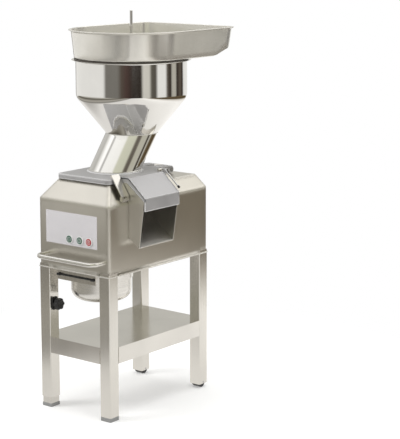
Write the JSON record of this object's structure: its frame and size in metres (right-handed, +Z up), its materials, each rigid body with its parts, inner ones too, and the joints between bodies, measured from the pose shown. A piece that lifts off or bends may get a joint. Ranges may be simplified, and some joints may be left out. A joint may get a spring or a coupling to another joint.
{
  "type": "floor-standing vegetable cutting machine with automatic feed head",
  "caption": "Stainless vegetable cutter on a square-tube stand: tipping feed head with leaning tube, hopper and swivelling tray, side outlet under a cast hood, bow handle, shelf, rear rollers.",
  "frame": {"origin": "on the floor below the middle of the machine's bounding box", "axes": "+X towards the outlet side, +Y towards the rear rollers, +Z up; the front plate with the buttons faces -Y"},
  "size_m": [0.439, 0.6945, 1.345],
  "materials": {
    "brushed_stainless": "brushed",
    "polished_stainless": "mirror polished",
    "cast_aluminium": "satin bead-blasted",
    "machine_steel": "machined",
    "painted_steel": "satin paint",
    "black_plastic": "fine grain",
    "grey_plastic": "smooth",
    "light_plate": "satin film",
    "green_plastic": "gloss",
    "red_plastic": "gloss",
    "black_rubber": "matt",
    "white_plastic": "smooth"
  },
  "bodies": {
    "stand": {"leg_front_left": "brushed_stainless", "leg_front_right": "brushed_stainless", "leg_rear_left": "brushed_stainless", "leg_rear_right": "brushed_stainless", "shelf": "brushed_stainless", "base_frame": "brushed_stainless", "casing": "brushed_stainless", "belly_pan": "brushed_stainless", "chassis_plate": "painted_steel", "chute": "brushed_stainless", "bow_handle": "brushed_stainless", "handle_nuts": "machine_steel", "motor_cover": "brushed_stainless", "cover_bracket": "brushed_stainless", "retaining_rod": "black_plastic", "hinge_bracket": "brushed_stainless", "latch_block": "brushed_stainless", "knob_plate": "black_plastic", "front_right_foot": "grey_plastic", "roller_axles": "machine_steel", "upper_bearing": "machine_steel", "lower_bearing": "machine_steel", "shaft_seal": "black_rubber", "chamber": "cast_aluminium", "chamber_gasket": "black_rubber", "gear_case": "cast_aluminium", "motor_housing": "painted_steel", "switch_blocks": "black_plastic", "button_bezels": "white_plastic", "control_plate": "light_plate", "contactor_box": "grey_plastic", "cable_gland": "black_plastic"},
    "feed_head": {"head_base": "cast_aluminium", "feed_tube": "polished_stainless", "hopper": "polished_stainless", "slide_ring": "black_plastic", "stirrer_bridge": "polished_stainless", "hinge_pin": "machine_steel", "catch_post": "brushed_stainless"},
    "tray": {"feed_tray": "polished_stainless"},
    "stirring_rod": {"stirrer": "polished_stainless"},
    "cutting_drive": {"drive_shaft": "machine_steel", "drive_gear": "machine_steel", "ejector_disc": "white_plastic", "slicing_disc": "cast_aluminium", "slicing_blades": "machine_steel", "disc_nut": "black_plastic"},
    "rotor": {"motor_rotor": "machine_steel", "motor_pinion": "machine_steel"},
    "strap_latch": {"latch_strap": "brushed_stainless"},
    "catch": {"catch_lever": "machine_steel", "catch_tip": "black_rubber"},
    "knob": {"clamp_knob": "black_plastic"},
    "levelling_foot": {"levelling_tube": "brushed_stainless", "levelling_shoe": "grey_plastic"},
    "roller_left": {"roller_left": "black_plastic"},
    "roller_right": {"roller_right": "black_plastic"},
    "button_one": {"button_one": "green_plastic"},
    "button_two": {"button_two": "green_plastic"},
    "button_stop": {"button_stop": "red_plastic"}
  },
  "joints": [
    {"name": "head_hinge", "type": "hinge", "parent": "stand", "child": "feed_head", "pos_m": [0, 0.172, 0.7845], "axis": [-1, 0, 0], "range_deg": [0, 80]},
    {"name": "tray_swivel", "type": "hinge", "parent": "feed_head", "child": "tray", "pos_m": [0, 0.024, 1.185], "axis": [0, 0, 1], "continuous": true},
    {"name": "stirrer_turn", "type": "hinge", "parent": "feed_head", "child": "stirring_rod", "pos_m": [0, 0.024, 0.93], "axis": [0, 0, 1], "continuous": true},
    {"name": "rotor_spin", "type": "hinge", "parent": "stand", "child": "rotor", "pos_m": [0, -0.138, 0.5], "axis": [0, 0, 1], "continuous": true},
    {"name": "disc_spin", "type": "hinge", "parent": "stand", "child": "cutting_drive", "pos_m": [0, -0.078, 0.7], "axis": [0, 0, 1], "continuous": true},
    {"name": "strap_turn", "type": "hinge", "parent": "stand", "child": "strap_latch", "pos_m": [0.155, -0.195, 0.7406], "axis": [0, 1, 0], "range_deg": [0, 120]},
    {"name": "catch_turn", "type": "hinge", "parent": "feed_head", "child": "catch", "pos_m": [0.143, 0.009, 0.8145], "axis": [0, -1, 0], "range_deg": [0, 100]},
    {"name": "knob_turn", "type": "hinge", "parent": "stand", "child": "knob", "pos_m": [-0.1016, -0.2555, 0.363], "axis": [1, 0, 0], "continuous": true},
    {"name": "foot_level", "type": "slide", "parent": "stand", "child": "levelling_foot", "axis": [0, 0, 1], "range_m": [-0.02, 0.02]},
    {"name": "roller_left_turn", "type": "hinge", "parent": "stand", "child": "roller_left", "pos_m": [-0.1345, 0.2215, 0.019], "axis": [1, 0, 0], "continuous": true},
    {"name": "roller_right_turn", "type": "hinge", "parent": "stand", "child": "roller_right", "pos_m": [0.1345, 0.2215, 0.019], "axis": [1, 0, 0], "continuous": true},
    {"name": "press_one", "type": "slide", "parent": "stand", "child": "button_one", "axis": [0, 1, 0], "range_m": [0, 0.002], "stiffness_N_per_m": 500, "springref_m": -0.002},
    {"name": "press_two", "type": "slide", "parent": "stand", "child": "button_two", "axis": [0, 1, 0], "range_m": [0, 0.002], "stiffness_N_per_m": 500, "springref_m": -0.002},
    {"name": "press_stop", "type": "slide", "parent": "stand", "child": "button_stop", "axis": [0, 1, 0], "range_m": [0, 0.002], "stiffness_N_per_m": 500, "springref_m": -0.002}
  ],
  "couplings": [
    {"joint": "disc_spin", "follows": "rotor_spin", "ratio": -0.25}
  ]
}
